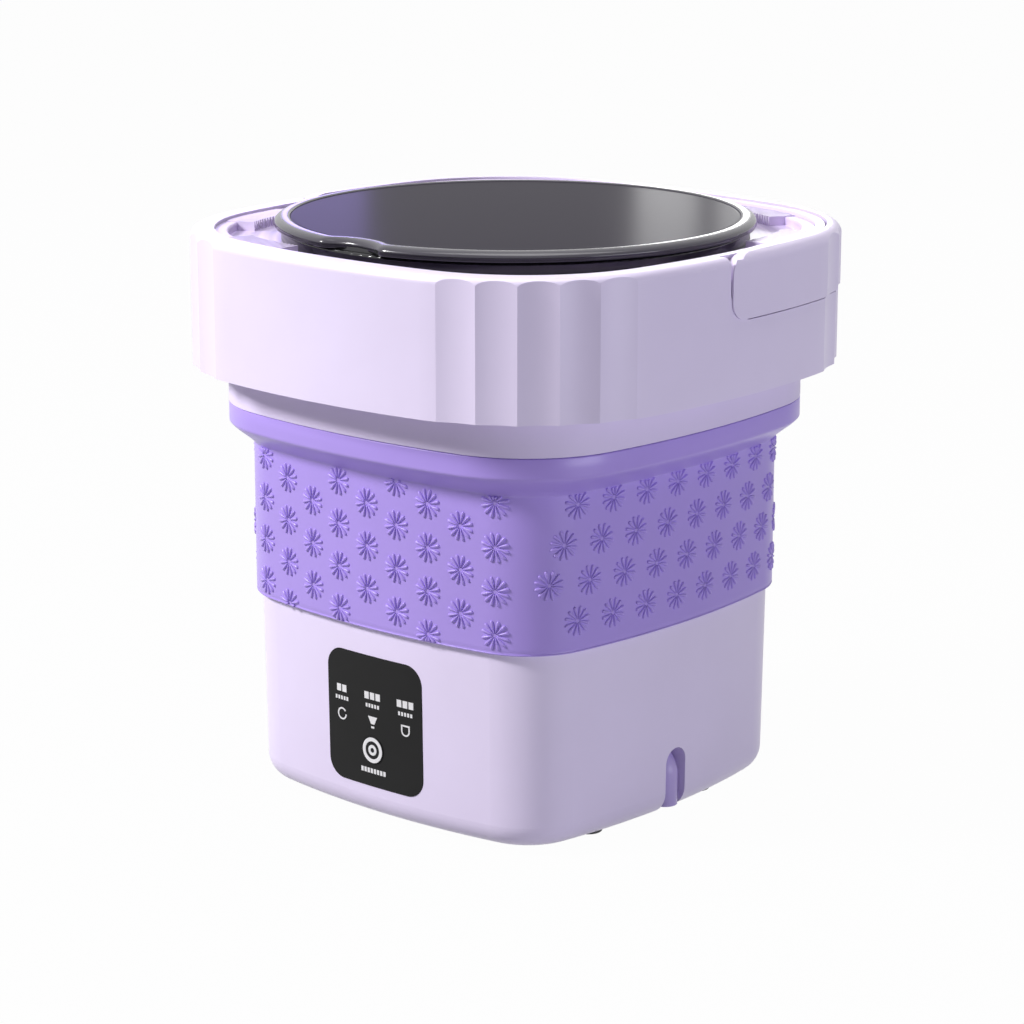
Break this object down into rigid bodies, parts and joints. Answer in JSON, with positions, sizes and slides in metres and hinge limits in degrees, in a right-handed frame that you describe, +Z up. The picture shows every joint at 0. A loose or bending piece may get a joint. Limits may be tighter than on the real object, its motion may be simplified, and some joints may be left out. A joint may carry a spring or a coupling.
{
  "type": "portable mini washer",
  "caption": "Collapsible bucket washer with a motor base, folding silicone wall, square fluted rim, round smoked lid and a flush bail handle.",
  "frame": {"origin": "middle of the footprint, at the bottom of the rubber feet", "axes": "+Z up, -Y towards the control panel, +X towards the drain channel"},
  "size_m": [0.286, 0.285, 0.2881],
  "materials": {
    "shell_lavender": "satin moulded lavender",
    "deck_lavender": "fine brushed lavender",
    "silicone_purple": "soft matt silicone with raised star bursts",
    "lid_smoke": "polished smoked plastic",
    "black_gloss": "polished black",
    "panel_black": "fine matt black with white symbols",
    "inner_white": "smooth pale plastic",
    "pipe_lavender": "satin lavender",
    "cover_lavender": "matt moulded plastic",
    "rubber_dark": "matt rubber",
    "steel": "plain steel",
    "pulley_black": "matt black plastic",
    "board_green": "circuit board",
    "led_white": "small electronic parts"
  },
  "bodies": {
    "base_body": {"base_housing": "shell_lavender", "bottom_cover": "cover_lavender", "rubber_feet": "rubber_dark", "bottom_screws": "steel", "tub": "inner_white", "bearing_housing": "cover_lavender", "bearing_screws": "steel", "shaft_bearings": "steel", "shaft_seal": "rubber_dark", "motor_bracket": "steel", "bracket_screws": "steel", "motor_case": "steel", "motor_end_bell": "cover_lavender", "motor_screws": "steel", "drive_belt": "rubber_dark", "drain_pipe": "pipe_lavender", "control_panel": "panel_black", "control_board": "board_green", "board_screws": "steel", "display_leds": "led_white", "tact_switch": "led_white", "dc_inlet": "pulley_black", "inlet_nut": "steel", "inlet_lead": "rubber_dark", "motor_lead": "rubber_dark", "folding_wall": "silicone_purple"},
    "impeller_body": {"impeller_shaft": "steel", "impeller": "inner_white", "impeller_screw": "steel", "impeller_pulley": "pulley_black", "pulley_nut": "steel"},
    "rotor_body": {"motor_shaft": "steel", "rotor_core": "steel", "motor_pulley": "pulley_black"},
    "button_body": {"power_button": "panel_black"},
    "plug_body": {"drain_plug": "inner_white"},
    "upper_body": {"rim_shell": "shell_lavender", "rim_floor": "shell_lavender", "top_deck": "deck_lavender", "upper_ring": "shell_lavender", "wall_clamp_ring": "cover_lavender", "ring_screws": "steel", "mouth_ring": "black_gloss"},
    "lid_body": {"lid": "lid_smoke", "lid_skirt": "lid_smoke", "lid_seal": "rubber_dark"},
    "handle_body": {"carry_handle": "shell_lavender", "handle_pins": "steel"}
  },
  "joints": [
    {"name": "collapse", "type": "slide", "parent": "base_body", "child": "upper_body", "axis": [0, 0, 1], "range_m": [-0.125, 0], "deforming": ["folding_wall"]},
    {"name": "handle_swing", "type": "hinge", "parent": "upper_body", "child": "handle_body", "pos_m": [0, 0.0046, 0.2683], "axis": [1, 0, 0], "range_deg": [0, 90]},
    {"name": "lid_lift", "type": "slide", "parent": "upper_body", "child": "lid_body", "axis": [0, 0, 1], "range_m": [0, 0.06]},
    {"name": "impeller_spin", "type": "hinge", "parent": "base_body", "child": "impeller_body", "pos_m": [0, 0, 0.06], "axis": [0, 0, 1], "continuous": true},
    {"name": "motor_spin", "type": "hinge", "parent": "base_body", "child": "rotor_body", "pos_m": [-0.06, 0, 0.03], "axis": [0, 0, 1], "continuous": true},
    {"name": "button_press", "type": "slide", "parent": "base_body", "child": "button_body", "axis": [0, 1, 0], "range_m": [0, 0.0007], "stiffness_N_per_m": 1200},
    {"name": "plug_pull", "type": "slide", "parent": "base_body", "child": "plug_body", "axis": [0, 0, 1], "range_m": [0, 0.03]}
  ],
  "couplings": [
    {"joint": "motor_spin", "follows": "impeller_spin", "ratio": 3.7551}
  ]
}
